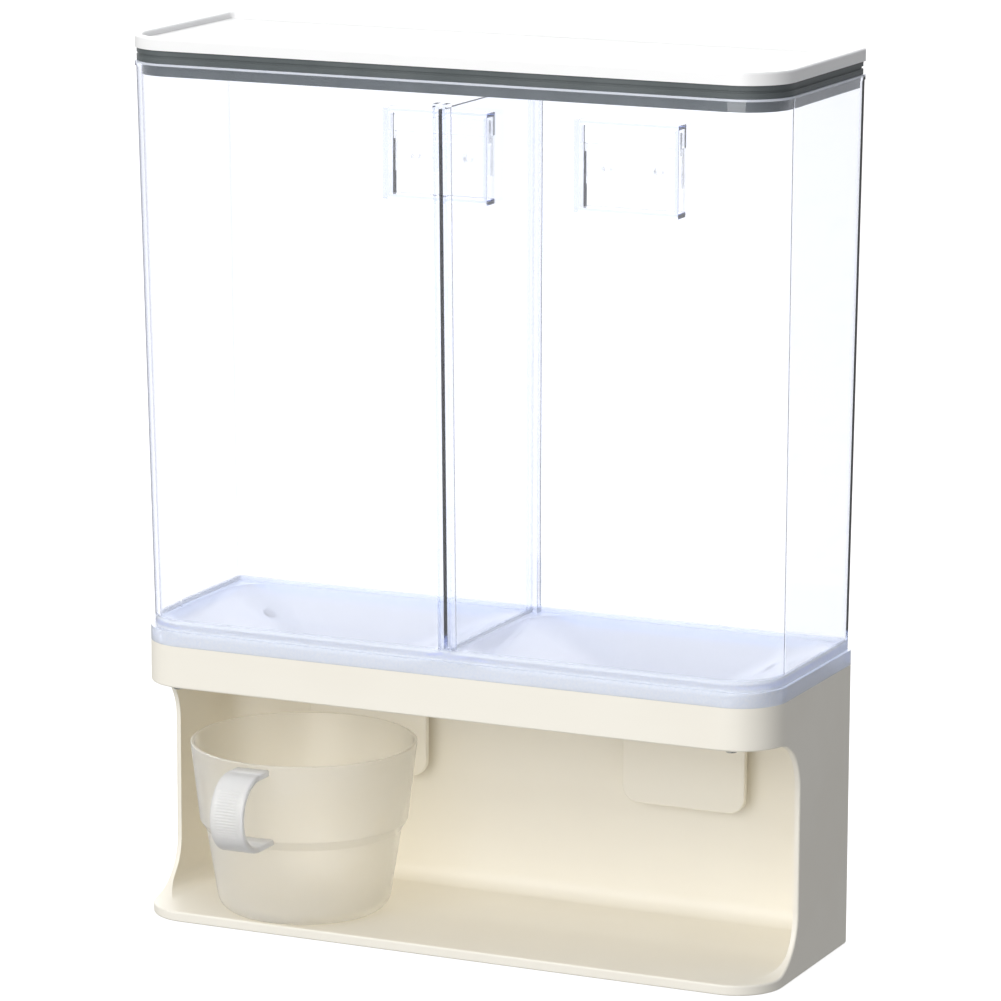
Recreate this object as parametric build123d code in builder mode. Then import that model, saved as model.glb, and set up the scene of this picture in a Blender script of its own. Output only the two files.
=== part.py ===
from build123d import *
import math
import os

# Wall-mounted rice dispenser: a clear two-compartment bin on an open ivory base, with a push paddle
# and a drop gate under each compartment, a lift-off lid, a measuring cup and two wall hooks.
# Millimetres, +X to the right seen from the front, +Y towards the wall, +Z up,
# origin at the centre of the base's underside.

# Base housing
base_width = 320.0
base_depth = 105.0
base_height = 133.5
front_corner = 23.0
back_corner = 3.0
shell_wall = 2.6
floor_thickness = 5.0
apron_height = 20.0
side_edge_setback = 41.0
scallop_radius = 25.0
bay_corner = 10.0
cove_radius = 8.0
ledge_width = 9.0
ledge_thickness = 2.0
base_edge_round = 1.0

# Storage bin
bin_height = 274.0
bin_wall = 2.2
wall_inset = 1.6
side_flare = 3.5
front_flare = 7.2
flange_height = 7.0
flange_wall = 3.2
floor_rise = 10.0
floor_wall = 2.4
locating_lip_depth = 6.0
locating_lip_wall = 2.0
rim_bead = 0.4
rim_bead_height = 2.5

# Funnels and outlets
ridge_width = 6.0
funnel_margin = 2.0
funnel_corner = 20.0
funnel_drop = 22.0
outlet_width = 44.0
outlet_length = 34.0
outlet_corner = 5.0
outlet_shift = 3.4
neck_wall = 2.0

# Divider and its rails
divider_thickness = 2.0
divider_drop = 13.0
rail_thickness = 2.2
rail_depth = 5.0
rail_bite = 4.0
rail_stand = 2.5

# Hang pockets, wall hooks and adhesive pads
hook_pitch = 98.0
pocket_width = 48.0
pocket_depth = 9.0
pocket_drop = 30.0
hang_lip_height = 9.0
hang_lip_thickness = 2.4
hook_side_gap = 1.0
hook_plate_height = 19.0
hook_plate_thickness = 2.6
hook_seat_thickness = 3.5
tongue_height = 7.5
tongue_thickness = 2.4
hook_release = 9.5
hook_floor_gap = 1.0
pad_thickness = 1.0
wall_gap = 0.5
wall_hole_diameter = 4.2
wall_hole_pitch = 26.0

# Lid and seal
lid_rim_height = 6.0
lid_rim_wall = 3.2
lid_tray_depth = 3.0
lid_edge_round = 1.2
seal_flange_height = 5.8
seal_inset = 0.8
seal_groove_depth = 0.6
seal_groove_height = 1.2
seal_plug_depth = 6.2
seal_plug_gap = 0.5
seal_section = 5.0
spigot_wall = 2.0

# Chute deck and outlet seals
deck_thickness = 2.6
seal_shelf = 0.8
outlet_seal_thickness = 2.6
collar_wall = 2.0
collar_rise = 2.0
cradle_gap = 0.6
cradle_wall = 1.8
cradle_rise = 4.0
lug_thickness = 4.0
lug_radius = 5.0

# Gates and paddles
gate_thickness = 3.0
gate_overlap = 3.0
gate_corner = 4.0
gate_recess = 1.0
paddle_width = 62.0
paddle_thickness = 3.0
paddle_length = 48.5
paddle_corner = 8.0
paddle_edge_round = 0.8
pivot_drop = 4.0
pivot_inset = 13.5
hub_diameter = 9.0
shelf_thickness = 2.5
shelf_length = 16.0

# Pivot pins, clips and return springs
pin_diameter = 4.0
pin_head_diameter = 7.0
pin_head_height = 1.6
pin_tail = 3.4
clip_diameter = 8.0
clip_thickness = 0.8
clip_groove_depth = 0.5
spring_wire = 0.9
spring_mean_diameter = 6.0
spring_pitch = 1.5
spring_turns = 6
spring_leg = 17.0
spring_room = 0.6
spring_end_room = 1.8
spring_stop_width = 8.0
spring_stop_thickness = 2.2

# Screws
screw_diameter = 3.0
screw_length = 10.0
screw_head_diameter = 5.6
screw_head_height = 1.8
screw_drive_width = 0.9
screw_point = 0.6
small_screw_diameter = 2.2
small_screw_length = 4.5
small_head_diameter = 4.4
small_head_height = 1.5
small_drive_width = 0.7
small_point = 0.45
boss_wall = 1.7
deck_boss_height = 8.5
deck_screw_inset = 20.0
gate_screw_pitch = 36.0
bin_boss_inset = 29.0
bin_boss_setback = 21.5

# Measuring cup and handle
cup_rim_radius = 53.5
cup_headroom = 25.3
cup_shift = 7.0
cup_wall = 1.6
cup_rim_round = 0.5
cup_step_height = 39.0
cup_step_rise = 4.5
cup_step_upper_radius = 49.2
cup_step_lower_radius = 46.2
cup_bottom_radius = 40.0
cup_bottom_round = 8.0
handle_width = 17.0
handle_thickness = 3.0
handle_reach = 27.0
handle_height = 37.0
handle_drop = 2.0

# Clearances
fit_gap = 0.3
moving_gap = 0.3
side_play = 0.6
pin_clearance = 0.05
thread_gap = 0.05
seat_gap = 0.2
cup_gap = 0.5
outline_tolerance = 0.05

# Levels
apron_bottom = base_height - apron_height
deck_bottom = apron_bottom + ledge_thickness
deck_top = deck_bottom + deck_thickness
bin_floor = base_height + floor_rise
bin_rim = base_height + bin_height
funnel_bottom = bin_floor - funnel_drop
gate_top = deck_bottom - gate_recess
gate_bottom = gate_top - gate_thickness
pivot_height = gate_bottom - pivot_drop
paddle_bottom = pivot_height - paddle_length
neck_bottom = gate_top + moving_gap
divider_top = bin_rim - divider_drop
seal_bottom = bin_rim + seat_gap
lid_bottom = seal_bottom + seal_flange_height
lid_top = lid_bottom + lid_rim_height
pocket_top = bin_rim - pocket_drop
hang_lip_bottom = pocket_top - hang_lip_height
hook_seat = hang_lip_bottom - seat_gap
hook_bottom = hook_seat - hook_plate_height
pocket_bottom = hook_bottom - hook_release - hook_floor_gap
cup_base = floor_thickness + seat_gap
cup_rim = gate_bottom - cup_headroom
cup_height = cup_rim - cup_base
handle_top = cup_rim - handle_drop

# Plan positions
half_width = base_width / 2
front_y = -base_depth / 2
back_y = base_depth / 2
bay_front = front_y - shell_wall
bay_back = back_y - shell_wall
side_edge = front_y + side_edge_setback
wall_plane = back_y + wall_gap
bin_half = half_width - wall_inset
bin_front = front_y + wall_inset
bin_top_half = bin_half + side_flare
bin_top_front = bin_front - front_flare
inner_half = bin_half - bin_wall
inner_top_half = bin_top_half - bin_wall
inner_front = bin_front + bin_wall
inner_top_front = bin_top_front + bin_wall
inner_back = back_y - bin_wall
inner_corner = front_corner - bin_wall
lid_half = bin_top_half + rim_bead
lid_front = bin_top_front - rim_bead
funnel_left = ridge_width / 2
funnel_right = inner_half - funnel_margin
funnel_front = inner_front + funnel_margin
funnel_back = inner_back - funnel_margin
funnel_x = (funnel_left + funnel_right) / 2
outlet_x = funnel_x + outlet_shift
outlet_y = (funnel_front + funnel_back) / 2
neck_width = outlet_width + 2 * neck_wall
neck_length = outlet_length + 2 * neck_wall
neck_corner = outlet_corner + neck_wall
pivot_y = back_y - pivot_inset
paddle_front = pivot_y - paddle_thickness / 2
hub_radius = hub_diameter / 2
lug_inside = paddle_width / 2 + side_play
lug_outside = lug_inside + lug_thickness
coil_radius = spring_mean_diameter / 2
coil_outside = coil_radius + spring_wire / 2
spring_slot = spring_pitch * spring_turns + spring_wire + 2 * spring_end_room
gate_back = pivot_y - hub_radius - fit_gap
gate_front = outlet_y - neck_length / 2 - gate_overlap
gate_screw_y = pivot_y - hub_radius - (shelf_length - hub_radius) / 2
hook_width = pocket_width - 2 * hook_side_gap
cup_x = -outlet_x - cup_shift
cup_y = paddle_front - cup_gap - cup_rim_radius
ledge_middle = shell_wall + ledge_width / 2
deck_screw_points = [
    (x, y)
    for x in (deck_screw_inset - half_width, half_width - deck_screw_inset)
    for y in (front_y + ledge_middle, back_y - ledge_middle)
]
deck_screw_points += [(ledge_middle - half_width, 0), (half_width - ledge_middle, 0)]
bin_screw_points = [
    (x, y)
    for x in (bin_boss_inset - half_width, half_width - bin_boss_inset)
    for y in (front_y + bin_boss_setback, back_y - bin_boss_setback)
]
sides = {"left": -1, "right": 1}

os.makedirs("parts", exist_ok=True)


def save(part, name):
    """Label one finished piece and write it."""
    part.label = name
    export_step(part, f"parts/{name}.step")


def plan(half, front, back, front_radius, back_radius):
    """Plan outline, symmetric about X, with its own front and back corner radii."""
    with BuildSketch(mode=Mode.PRIVATE) as outline:
        with Locations((0, (front + back) / 2)):
            Rectangle(2 * half, back - front)
        fillet(outline.vertices().group_by(Axis.Y)[0], front_radius)
        fillet(outline.vertices().group_by(Axis.Y)[-1], back_radius)
    return outline.sketch


def base_plan(inset):
    """The base's plan outline, drawn in by one distance on every side."""
    return plan(half_width - inset, front_y + inset, back_y - inset, front_corner - inset, back_corner)


def lid_plan(inset):
    """The lid's plan outline, drawn in by one distance on every side."""
    return plan(lid_half - inset, lid_front + inset, back_y - inset, front_corner - inset, back_corner)


def mouth_plan(inset):
    """The bin's open mouth in plan, drawn in by one distance on every side."""
    radius = inner_corner - inset
    return plan(inner_top_half - inset, inner_top_front + inset, inner_back - inset, radius, back_corner)


def on_outside(edge):
    """True for an edge that lies in the base's outer face."""
    middle = edge @ 0.5
    across = max(abs(middle.X) - half_width + front_corner, 0)
    along = max(front_y + front_corner - middle.Y, 0)
    return abs(math.hypot(across, along) - front_corner) < outline_tolerance


def slot(width, length, radius, x):
    """Rounded rectangle in plan, in line with the outlets."""
    with BuildSketch(mode=Mode.PRIVATE) as outline:
        with Locations((x, outlet_y)):
            RectangleRounded(width, length, radius)
    return outline.sketch


def outlet_plan(sign):
    """Plan outline of one outlet's bore."""
    return slot(outlet_width, outlet_length, outlet_corner, sign * outlet_x)


def neck_plan(sign, gap):
    """Plan outline of one outlet's neck, drawn out by one distance on every side."""
    return slot(neck_width + 2 * gap, neck_length + 2 * gap, neck_corner + gap, sign * outlet_x)


def funnel_plan(sign):
    """Plan outline of one funnel's rim."""
    return slot(funnel_right - funnel_left, funnel_back - funnel_front, funnel_corner, sign * funnel_x)


def front_inside(z):
    """Y of the bin's sloped front wall, on its inside, at one height."""
    share = (z - bin_floor) / (bin_rim - bin_floor)
    return inner_front + share * (inner_top_front - inner_front)


def pan_head_screw(diameter, length, head_diameter, head_height, drive_width, point):
    """Pan-head screw on the Z axis, its head's underside at the origin and its shank upwards."""
    drive_length = head_diameter / 2
    with BuildPart(mode=Mode.PRIVATE) as screw:
        Cylinder(diameter / 2, length, align=(Align.CENTER, Align.CENTER, Align.MIN))
        Cylinder(head_diameter / 2, head_height, align=(Align.CENTER, Align.CENTER, Align.MAX))
        fillet(screw.edges().group_by(Axis.Z)[0], head_height / 2)
        chamfer(screw.edges().group_by(Axis.Z)[-1], point)
        with BuildSketch(Plane.XY.offset(-head_height)):
            Rectangle(drive_length, drive_width)
            Rectangle(drive_width, drive_length)
        extrude(amount=head_height / 2, mode=Mode.SUBTRACT)
    return screw.part


def biarc(start, start_tangent, end, end_tangent):
    """Two arcs between two points with given unit tangents, drawn in the current line."""
    chord = end - start
    spread = 2 * (1 - start_tangent.dot(end_tangent))
    along = chord.dot(start_tangent + end_tangent)
    reach = (math.sqrt(along**2 + spread * chord.dot(chord)) - along) / spread
    middle = (start + start_tangent * reach + end - end_tangent * reach) / 2
    first = TangentArc(start, middle, tangent=start_tangent)
    TangentArc(middle, end, tangent=first % 1)


def coil_point(angle, center_x):
    """Point on the return spring's helix round the pivot pin."""
    x = center_x + spring_pitch * (angle / (2 * math.pi) - spring_turns / 2)
    y = pivot_y + coil_radius * math.cos(angle)
    return Vector(x, y, pivot_height + coil_radius * math.sin(angle))


def coil_tangent(angle):
    """Unit tangent of the return spring's helix."""
    rise = spring_pitch / (2 * math.pi)
    return Vector(rise, -coil_radius * math.sin(angle), coil_radius * math.cos(angle)).normalized()


def print_self_gap(name, path):
    """Print the least gap of a wound wire to itself, between points half a turn or more apart."""
    half_turn = math.pi * coil_radius
    samples_per_wire = 3
    count = math.ceil(samples_per_wire * path.length / spring_wire)
    skip = math.ceil(count * half_turn / path.length)
    points = [path @ (index / count) for index in range(count + 1)]
    pairs = ((a, b) for a in range(count + 1) for b in range(a + skip, count + 1))
    least = min((points[a] - points[b]).length for a, b in pairs)
    print(name, "least gap to itself", round(least - spring_wire, 2), "mm")


# Base housing: floor, back and scalloped side walls, apron and the ledge that carries the deck
with BuildPart() as bay_void:
    with BuildSketch(Plane.XY.offset(floor_thickness)):
        with Locations((0, (bay_front + bay_back) / 2)):
            Rectangle(2 * (half_width - shell_wall), bay_back - bay_front)
    extrude(amount=apron_bottom - floor_thickness)
    fillet(bay_void.edges().filter_by(Axis.Z).group_by(Axis.Y)[-1], bay_corner)
    fillet(bay_void.faces().sort_by(Axis.Z)[0].edges().sort_by(Axis.Y)[1:], cove_radius)

with BuildPart() as base_housing:
    with BuildSketch():
        add(base_plan(0))
    extrude(amount=base_height)
    fillet(base_housing.edges().group_by(Axis.Z)[0], base_edge_round)
    add(bay_void.part, mode=Mode.SUBTRACT)
    with BuildSketch(Plane.YZ) as scallop:
        with Locations(((bay_front + side_edge) / 2, (floor_thickness + apron_bottom) / 2)):
            Rectangle(side_edge - bay_front, apron_bottom - floor_thickness)
        fillet(scallop.vertices().group_by(Axis.X)[-1], scallop_radius)
    extrude(amount=half_width, both=True, mode=Mode.SUBTRACT)
    fillet(base_housing.edges(Select.LAST).filter_by(on_outside), base_edge_round)
    with BuildSketch(Plane.XY.offset(apron_bottom)):
        add(base_plan(shell_wall + ledge_width))
    extrude(amount=apron_height, mode=Mode.SUBTRACT)
    with BuildSketch(Plane.XY.offset(deck_bottom)):
        add(base_plan(shell_wall))
    extrude(amount=base_height - deck_bottom, mode=Mode.SUBTRACT)
    notch_length = lug_radius + fit_gap
    with BuildSketch(Plane.XY.offset(apron_bottom)):
        with Locations(*[(sign * outlet_x, pivot_y + notch_length / 2) for sign in sides.values()]):
            Rectangle(2 * (lug_outside + fit_gap), notch_length)
        with Locations(*deck_screw_points):
            Circle(screw_diameter / 2 + fit_gap)
    extrude(amount=ledge_thickness, mode=Mode.SUBTRACT)
save(base_housing.part, "base_housing")

# Chute deck: plate under the bin with a cradle under each funnel, a collar round each outlet,
# hinge lugs and screw bosses
pocket_gap = outlet_seal_thickness + 2 * thread_gap
with BuildPart() as chute_deck:
    with BuildSketch(Plane.XY.offset(deck_bottom)):
        add(base_plan(shell_wall + fit_gap))
    extrude(amount=deck_thickness)
    with BuildSketch(Plane.XY.offset(deck_top)):
        with Locations(*deck_screw_points):
            Circle(screw_diameter / 2 + boss_wall)
    extrude(amount=deck_boss_height)
    for sign in sides.values():
        center = sign * outlet_x
        with BuildSketch(Plane.XY.offset(deck_top)):
            add(neck_plan(sign, pocket_gap + collar_wall))
        extrude(amount=collar_rise)
        with BuildSketch(Plane.XY.offset(bin_floor - floor_wall - cradle_gap - cradle_wall)):
            add(funnel_plan(sign))
        with BuildSketch(Plane.XY.offset(funnel_bottom - floor_wall - cradle_gap - cradle_wall)):
            add(neck_plan(sign, 0))
        loft(ruled=True)
        with BuildSketch(Plane.XY.offset(bin_floor - floor_wall - cradle_gap)):
            add(funnel_plan(sign))
        with BuildSketch(Plane.XY.offset(funnel_bottom - floor_wall - cradle_gap)):
            add(neck_plan(sign, 0))
        loft(ruled=True, mode=Mode.SUBTRACT)
        with BuildSketch(Plane.XY.offset(deck_bottom + seal_shelf)):
            add(neck_plan(sign, pocket_gap))
        extrude(amount=deck_thickness + collar_rise, mode=Mode.SUBTRACT)
        with BuildSketch(Plane.XY.offset(deck_bottom)):
            add(neck_plan(sign, fit_gap))
        extrude(amount=deck_thickness, mode=Mode.SUBTRACT)
        for lug_x in (center - lug_outside, center + lug_inside):
            with BuildSketch(Plane.YZ.offset(lug_x)):
                with Locations((pivot_y, (pivot_height + deck_bottom) / 2)):
                    Rectangle(2 * lug_radius, deck_bottom - pivot_height)
                with Locations((pivot_y, pivot_height)):
                    Circle(lug_radius)
                    Circle(pin_diameter / 2 + pin_clearance, mode=Mode.SUBTRACT)
            extrude(amount=lug_thickness)
        stop_back = pivot_y + coil_radius - spring_wire / 2 - seat_gap
        stop_bottom = pivot_height + coil_outside + spring_room
        with BuildSketch(Plane.XY.offset(stop_bottom)):
            with Locations((center, stop_back - spring_stop_thickness / 2)):
                Rectangle(spring_stop_width, spring_stop_thickness)
        extrude(amount=deck_bottom - stop_bottom)
    with BuildSketch(Plane.XY.offset(base_height + cradle_rise)):
        add(base_plan(0))
    extrude(amount=floor_rise, mode=Mode.SUBTRACT)
    with BuildSketch(Plane.XY.offset(deck_top)):
        with Locations(*bin_screw_points):
            Circle(screw_diameter / 2 + boss_wall + fit_gap)
    extrude(amount=bin_floor - deck_top, mode=Mode.SUBTRACT)
    with BuildSketch(Plane.XY.offset(deck_bottom)):
        with Locations(*deck_screw_points):
            Circle(screw_diameter / 2 + thread_gap)
        with Locations(*bin_screw_points):
            Circle(screw_diameter / 2 + fit_gap)
    extrude(amount=deck_thickness + deck_boss_height, mode=Mode.SUBTRACT)
save(chute_deck.part, "chute_deck")

# Storage bin: flange, drafted walls, two funnels with necks, divider rails and two hang pockets
rail_top = divider_top + rail_stand
slot_half = divider_thickness / 2 + fit_gap
with BuildPart() as storage_bin:
    with BuildSketch(Plane.XY.offset(base_height)):
        add(base_plan(0))
    extrude(amount=flange_height)
    wall_bottom = base_height + flange_height
    with BuildSketch(Plane.XY.offset(wall_bottom)):
        add(plan(bin_half, bin_front, back_y, front_corner, back_corner))
    with BuildSketch(Plane.XY.offset(bin_rim)):
        add(plan(bin_top_half, bin_top_front, back_y, front_corner, back_corner))
    loft(ruled=True)
    with BuildSketch(Plane.XY.offset(bin_rim - rim_bead_height)):
        add(lid_plan(0))
    extrude(amount=rim_bead_height)
    with BuildSketch(Plane.XY.offset(bin_floor)):
        add(plan(inner_half, inner_front, inner_back, inner_corner, back_corner))
    with BuildSketch(Plane.XY.offset(bin_rim)):
        add(mouth_plan(0))
    loft(ruled=True, mode=Mode.SUBTRACT)
    with BuildSketch(Plane.XY.offset(base_height)):
        add(base_plan(flange_wall))
    extrude(amount=floor_rise - floor_wall, mode=Mode.SUBTRACT)
    with BuildSketch(Plane.XY.offset(base_height - locating_lip_depth)):
        add(base_plan(shell_wall + fit_gap))
        add(base_plan(shell_wall + fit_gap + locating_lip_wall), mode=Mode.SUBTRACT)
    extrude(amount=locating_lip_depth + flange_height)
    with BuildSketch(Plane.XY.offset(deck_top)):
        with Locations(*bin_screw_points):
            Circle(screw_diameter / 2 + boss_wall)
    extrude(amount=bin_floor - floor_wall - deck_top)
    for sign in sides.values():
        with BuildSketch(Plane.XY.offset(bin_floor - floor_wall)):
            add(funnel_plan(sign))
        with BuildSketch(Plane.XY.offset(funnel_bottom - floor_wall)):
            add(neck_plan(sign, 0))
        loft(ruled=True)
        with BuildSketch(Plane.XY.offset(neck_bottom)):
            add(neck_plan(sign, 0))
        extrude(amount=funnel_bottom - floor_wall - neck_bottom)
        with BuildSketch(Plane.XY.offset(bin_floor)):
            add(funnel_plan(sign))
        with BuildSketch(Plane.XY.offset(funnel_bottom)):
            add(outlet_plan(sign))
        loft(ruled=True, mode=Mode.SUBTRACT)
        with BuildSketch(Plane.XY.offset(neck_bottom)):
            add(outlet_plan(sign))
        extrude(amount=funnel_bottom - neck_bottom, mode=Mode.SUBTRACT)
    with BuildSketch(Plane.XY.offset(deck_top)):
        with Locations(*bin_screw_points):
            Circle(screw_diameter / 2 + thread_gap)
    extrude(amount=screw_length - deck_thickness + fit_gap, mode=Mode.SUBTRACT)
    for rail_x in (-slot_half - rail_thickness, slot_half):
        with BuildSketch(Plane.YZ.offset(rail_x)):
            with BuildLine():
                Polyline(
                    (front_inside(bin_floor) - bin_wall / 2, bin_floor - floor_wall / 2),
                    (front_inside(bin_floor) + rail_depth, bin_floor - floor_wall / 2),
                    (front_inside(rail_top) + rail_depth, rail_top),
                    (front_inside(rail_top) - bin_wall / 2, rail_top),
                    close=True,
                )
            make_face()
            rail_root = rail_depth + bin_wall / 2
            with Locations((inner_back - rail_depth + rail_root / 2, (bin_floor + rail_top) / 2)):
                Rectangle(rail_root, rail_top - bin_floor + floor_wall)
        extrude(amount=rail_thickness)
    for sign in sides.values():
        hook_x = sign * hook_pitch / 2
        pocket_middle = (pocket_bottom + pocket_top) / 2
        pocket_height = pocket_top - pocket_bottom
        with BuildSketch(Plane.XZ.offset(pocket_depth + bin_wall - back_y)):
            with Locations((hook_x, pocket_middle)):
                Rectangle(pocket_width + 2 * bin_wall, pocket_height + 2 * bin_wall)
        extrude(amount=-pocket_depth - bin_wall)
        with BuildSketch(Plane.XZ.offset(pocket_depth - back_y)):
            with Locations((hook_x, pocket_middle)):
                Rectangle(pocket_width, pocket_height)
        extrude(amount=hang_lip_thickness - pocket_depth, mode=Mode.SUBTRACT)
        with BuildSketch(Plane.XZ.offset(-back_y)):
            with Locations((hook_x, (pocket_bottom + hang_lip_bottom) / 2)):
                Rectangle(pocket_width, hang_lip_bottom - pocket_bottom)
        extrude(amount=hang_lip_thickness, mode=Mode.SUBTRACT)
save(storage_bin.part, "storage_bin")

# Divider: clear panel that stands between the rails on the ridge of the floor
divider_bottom = bin_floor + seat_gap
rail_gap = rail_depth - rail_bite
with BuildPart() as divider:
    with BuildSketch(Plane.YZ):
        with BuildLine():
            Polyline(
                (front_inside(divider_bottom) + rail_gap, divider_bottom),
                (inner_back - rail_gap, divider_bottom),
                (inner_back - rail_gap, divider_top),
                (front_inside(divider_top) + rail_gap, divider_top),
                close=True,
            )
        make_face()
    extrude(amount=divider_thickness / 2, both=True)
save(divider.part, "divider")

# Lid: shallow tray with a raised rim and a spigot that carries the seal
spigot_inset = seal_plug_gap + seal_section
spigot_depth = seal_flange_height + seal_plug_depth
with BuildPart() as lid:
    with BuildSketch(Plane.XY.offset(lid_bottom)):
        add(lid_plan(0))
    extrude(amount=lid_rim_height)
    with BuildSketch(Plane.XY.offset(lid_top - lid_tray_depth)):
        add(lid_plan(lid_rim_wall))
    extrude(amount=lid_tray_depth, mode=Mode.SUBTRACT)
    fillet(lid.edges().group_by(Axis.Z)[-1], lid_edge_round)
    with BuildSketch(Plane.XY.offset(lid_bottom - spigot_depth)):
        add(mouth_plan(spigot_inset))
        add(mouth_plan(spigot_inset + spigot_wall), mode=Mode.SUBTRACT)
    extrude(amount=spigot_depth)
save(lid.part, "lid")

# Lid seal: silicone ring with a flange between lid and rim and a plug inside the bin's mouth
with BuildPart() as lid_seal:
    with BuildSketch(Plane.XY.offset(seal_bottom)):
        add(lid_plan(seal_inset))
    extrude(amount=seal_flange_height)
    with BuildSketch(Plane.XY.offset(seal_bottom - seal_plug_depth)):
        add(mouth_plan(seal_plug_gap))
    extrude(amount=seal_plug_depth)
    with BuildSketch(Plane.XY.offset(seal_bottom + (seal_flange_height - seal_groove_height) / 2)):
        add(lid_plan(0))
        add(lid_plan(seal_inset + seal_groove_depth), mode=Mode.SUBTRACT)
    extrude(amount=seal_groove_height, mode=Mode.SUBTRACT)
    with BuildSketch(Plane.XY.offset(seal_bottom - seal_plug_depth)):
        add(mouth_plan(spigot_inset - thread_gap))
    extrude(amount=spigot_depth, mode=Mode.SUBTRACT)
save(lid_seal.part, "lid_seal")

# Pieces of each outlet: seal, gate, paddle, pin, clip, spring and gate screws
gate_screw = pan_head_screw(
    small_screw_diameter,
    small_screw_length,
    small_head_diameter,
    small_head_height,
    small_drive_width,
    small_point,
)
for side, sign in sides.items():
    center = sign * outlet_x

    with BuildPart() as outlet_seal:
        with BuildSketch(Plane.XY.offset(deck_bottom + seal_shelf)):
            add(neck_plan(sign, outlet_seal_thickness + thread_gap))
            add(neck_plan(sign, thread_gap), mode=Mode.SUBTRACT)
        extrude(amount=funnel_bottom - floor_wall - fit_gap - deck_bottom - seal_shelf)
    save(outlet_seal.part, f"{side}_outlet_seal")

    gate_screw_points = [(center + x, gate_screw_y) for x in (-gate_screw_pitch / 2, gate_screw_pitch / 2)]
    with BuildPart() as gate:
        with BuildSketch(Plane.XY.offset(gate_bottom)):
            with Locations((center, (gate_front + gate_back) / 2)):
                RectangleRounded(neck_width + 2 * gate_overlap, gate_back - gate_front, gate_corner)
        extrude(amount=gate_thickness)
        with BuildSketch(Plane.XY.offset(gate_bottom)):
            with Locations(*gate_screw_points):
                Circle(small_screw_diameter / 2 + thread_gap)
        extrude(amount=small_screw_length - shelf_thickness + fit_gap, mode=Mode.SUBTRACT)
    save(gate.part, f"{side}_gate")

    with BuildPart() as paddle:
        with BuildSketch(Plane.XZ.offset(-paddle_front)) as face:
            with Locations((center, (paddle_bottom + pivot_height) / 2)):
                Rectangle(paddle_width, pivot_height - paddle_bottom)
            fillet(face.vertices().group_by(Axis.Y)[0], paddle_corner)
        extrude(amount=-paddle_thickness)
        fillet(paddle.faces().sort_by(Axis.Y)[0].edges().sort_by(Axis.Z)[:-1], paddle_edge_round)
        with BuildSketch(Plane.YZ.offset(center - paddle_width / 2)):
            with Locations((pivot_y, pivot_height)):
                Circle(hub_radius)
            with Locations((pivot_y - shelf_length / 2, gate_bottom - shelf_thickness / 2)):
                Rectangle(shelf_length, shelf_thickness)
        extrude(amount=paddle_width)
        with Locations((center, pivot_y, pivot_height)):
            room = 2 * (hub_radius + spring_room)
            Box(spring_slot, room, room, mode=Mode.SUBTRACT)
        pad_reach = coil_radius - spring_wire / 2 - seat_gap
        with BuildSketch(Plane.XY.offset(pivot_height - spring_leg)):
            with Locations((center, pivot_y + pad_reach / 2)):
                Rectangle(spring_slot, pad_reach)
        extrude(amount=spring_leg - hub_radius - spring_room)
        with BuildSketch(Plane.YZ.offset(center - paddle_width / 2)):
            with Locations((pivot_y, pivot_height)):
                Circle(pin_diameter / 2 + pin_clearance)
        extrude(amount=paddle_width, mode=Mode.SUBTRACT)
        with BuildSketch(Plane.XY.offset(gate_bottom - shelf_thickness)):
            with Locations(*gate_screw_points):
                Circle(small_screw_diameter / 2 + fit_gap)
        extrude(amount=shelf_thickness, mode=Mode.SUBTRACT)
    save(paddle.part, f"{side}_paddle")

    with BuildPart() as gate_screws:
        with Locations(*[(x, y, gate_bottom - shelf_thickness) for x, y in gate_screw_points]):
            add(gate_screw)
    save(gate_screws.part, f"{side}_gate_screws")

    groove_x = center + lug_outside + seat_gap
    with BuildPart() as pivot_pin:
        with BuildSketch(Plane.YZ.offset(center - lug_outside)):
            with Locations((pivot_y, pivot_height)):
                Circle(pin_diameter / 2)
        extrude(amount=2 * lug_outside + pin_tail)
        with BuildSketch(Plane.YZ.offset(center - lug_outside)):
            with Locations((pivot_y, pivot_height)):
                Circle(pin_head_diameter / 2)
        extrude(amount=-pin_head_height)
        with BuildSketch(Plane.YZ.offset(groove_x)):
            with Locations((pivot_y, pivot_height)):
                Circle(pin_diameter / 2)
                Circle(pin_diameter / 2 - clip_groove_depth, mode=Mode.SUBTRACT)
        extrude(amount=clip_thickness + 2 * thread_gap, mode=Mode.SUBTRACT)
        chamfer(pivot_pin.edges().group_by(Axis.X)[-1], clip_groove_depth)
        fillet(pivot_pin.edges().group_by(Axis.X)[0], pin_head_height / 2)
    save(pivot_pin.part, f"{side}_pivot_pin")

    with BuildPart() as pin_clip:
        bore = pin_diameter / 2 - clip_groove_depth + thread_gap
        with BuildSketch(Plane.YZ.offset(groove_x + thread_gap)):
            with Locations((pivot_y, pivot_height)):
                Circle(clip_diameter / 2)
                Circle(bore, mode=Mode.SUBTRACT)
            with Locations((pivot_y, pivot_height - clip_diameter / 2)):
                Rectangle(2 * bore - clip_groove_depth, clip_diameter, mode=Mode.SUBTRACT)
        extrude(amount=clip_thickness)
    save(pin_clip.part, f"{side}_pin_clip")

    with BuildPart() as return_spring:
        with BuildLine() as wire:
            start = coil_point(0, center)
            Line(start - coil_tangent(0) * spring_leg, start)
            for half_turn in range(2 * spring_turns):
                low = half_turn * math.pi
                high = low + math.pi
                turn_start = coil_point(low, center)
                turn_end = coil_point(high, center)
                biarc(turn_start, coil_tangent(low), turn_end, coil_tangent(high))
            end_angle = 2 * math.pi * spring_turns
            end = coil_point(end_angle, center)
            Line(end, end + coil_tangent(end_angle) * (deck_bottom - pivot_height - fit_gap))
        with BuildSketch(Plane(origin=wire.line @ 0, z_dir=wire.line % 0)):
            Circle(spring_wire / 2)
        sweep()
    print_self_gap(f"{side}_return_spring", wire.wires()[0])
    save(return_spring.part, f"{side}_return_spring")

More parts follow.
